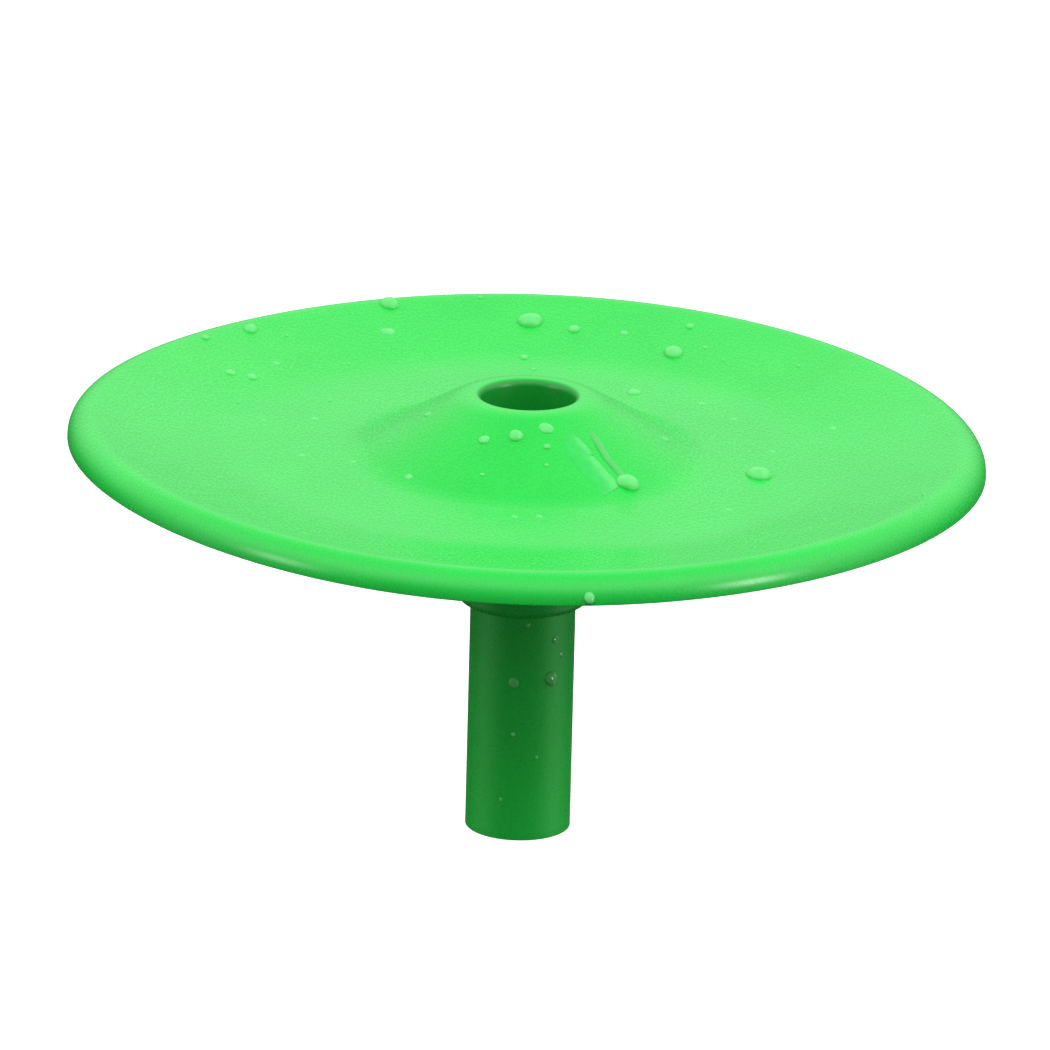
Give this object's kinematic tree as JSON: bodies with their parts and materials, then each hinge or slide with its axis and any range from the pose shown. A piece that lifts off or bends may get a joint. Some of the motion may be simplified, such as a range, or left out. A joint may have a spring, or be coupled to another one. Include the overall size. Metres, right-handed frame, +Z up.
{
  "type": "stemmed funnel dish",
  "caption": "Round shallow dish with a rolled rim and a raised centre hole, over a sleeve and a straight hollow stem.",
  "frame": {"origin": "on the axis at the stem's lower end, on the plane the stem stands on", "axes": "+Z up along the stem and the hole, from the stem's lower end to the dish; X and Y are free, because the part is round"},
  "size_m": [0.15, 0.15, 0.0743],
  "materials": {
    "dish_plastic": "moulded, satin gloss, bright green",
    "stem_plastic": "moulded, satin gloss, bright green"
  },
  "bodies": {
    "dish_body": {"dish": "dish_plastic", "stem_sleeve": "stem_plastic"},
    "stem": {"stem_tube": "stem_plastic"}
  },
  "joints": [
    {"name": "stem_pull", "type": "slide", "parent": "dish_body", "child": "stem", "axis": [0, 0, -1], "range_m": [0, 0.02]}
  ]
}
